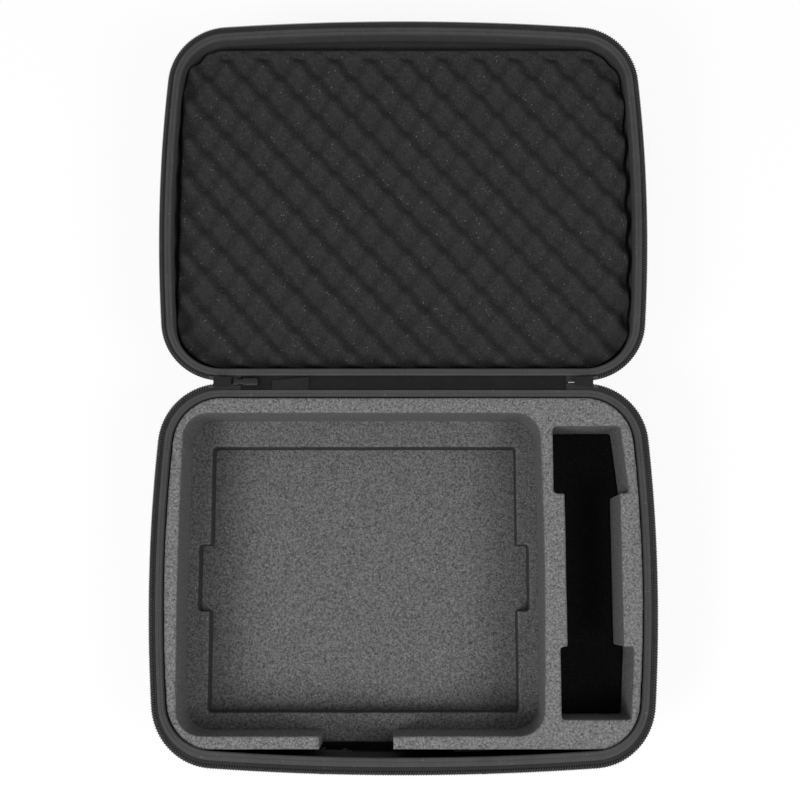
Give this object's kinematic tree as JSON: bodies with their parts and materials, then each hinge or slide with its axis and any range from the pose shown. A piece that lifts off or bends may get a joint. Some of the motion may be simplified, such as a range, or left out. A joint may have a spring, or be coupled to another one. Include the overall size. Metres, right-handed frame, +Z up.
{
  "type": "zippered hard case",
  "caption": "Zippered moulded hard case lying open, with cut foam for a desktop audio mixer and a long tool, egg crate foam in the lid and a folding carry handle.",
  "frame": {"origin": "centre of the base's flat resting face", "axes": "+Z up, +X to the right, +Y from the base towards the open lid"},
  "size_m": [0.4518, 0.6952, 0.1091],
  "materials": {
    "eva_shell": "matte",
    "lining_fabric": "matte",
    "binding_tape": "woven",
    "zip_tape": "woven",
    "zip_coil": "satin",
    "cut_foam": "open cell foam",
    "black_foam": "matte",
    "crate_foam": "open cell foam",
    "hinge_webbing": "woven",
    "hinge_lining": "woven",
    "woven_tab": "woven",
    "slider_metal": "satin black",
    "pull_cord": "braided",
    "pull_rubber": "satin",
    "anchor_plastic": "moulded",
    "pin_steel": "black",
    "rivet_steel": "black",
    "handle_core": "moulded",
    "handle_rubber": "soft touch"
  },
  "bodies": {
    "base": {"base_shell": "eva_shell", "base_lining": "lining_fabric", "base_rim_binding": "binding_tape", "base_zip_tape": "zip_tape", "base_zip_coil": "zip_coil", "base_zip_end_stops": "zip_coil", "foam_floor_pad": "cut_foam", "foam_ledge_layer": "cut_foam", "foam_top_frame": "cut_foam", "side_pocket_pad": "black_foam", "label_tab": "woven_tab", "hinge_strip_outer": "hinge_webbing", "hinge_strip_inner": "hinge_lining", "handle_anchors": "anchor_plastic", "handle_pins": "pin_steel", "handle_rivets": "rivet_steel", "handle_backing_plates": "rivet_steel"},
    "lid": {"lid_shell": "eva_shell", "lid_lining": "lining_fabric", "lid_rim_binding": "binding_tape", "lid_zip_tape": "zip_tape", "lid_zip_coil": "zip_coil", "lid_zip_end_stops": "zip_coil", "egg_crate_foam": "crate_foam"},
    "left_slider": {"left_slider_body": "slider_metal", "left_pull_cord": "pull_cord"},
    "right_slider": {"right_slider_body": "slider_metal"},
    "left_pull": {"left_pull_grip": "pull_rubber"},
    "right_pull": {"right_pull_tongue": "pull_cord", "right_pull_grip": "pull_rubber"},
    "carry_handle": {"handle_core": "handle_core", "handle_grip": "handle_rubber"}
  },
  "joints": [
    {"name": "lid_hinge", "type": "hinge", "parent": "base", "child": "lid", "pos_m": [0, 0.173, 0.105], "axis": [1, 0, 0], "range_deg": [0, 180], "deforming": ["hinge_strip_outer", "hinge_strip_inner"]},
    {"name": "left_slider_slide", "type": "slide", "parent": "base", "child": "left_slider", "axis": [-1, 0, 0], "range_m": [0, 0.009]},
    {"name": "right_slider_slide", "type": "slide", "parent": "base", "child": "right_slider", "axis": [1, 0, 0], "range_m": [0, 0.009]},
    {"name": "left_pull_swing", "type": "hinge", "parent": "left_slider", "child": "left_pull", "pos_m": [-0.1525, 0.173, 0.1044], "axis": [0, -1, 0], "range_deg": [0, 90]},
    {"name": "right_pull_swing", "type": "hinge", "parent": "right_slider", "child": "right_pull", "pos_m": [0.1635, 0.173, 0.0983], "axis": [0, 1, 0], "range_deg": [-60, 60]},
    {"name": "carry_handle_swing", "type": "hinge", "parent": "base", "child": "carry_handle", "pos_m": [0, -0.1731, 0.062], "axis": [-1, 0, 0], "range_deg": [0, 100]}
  ]
}
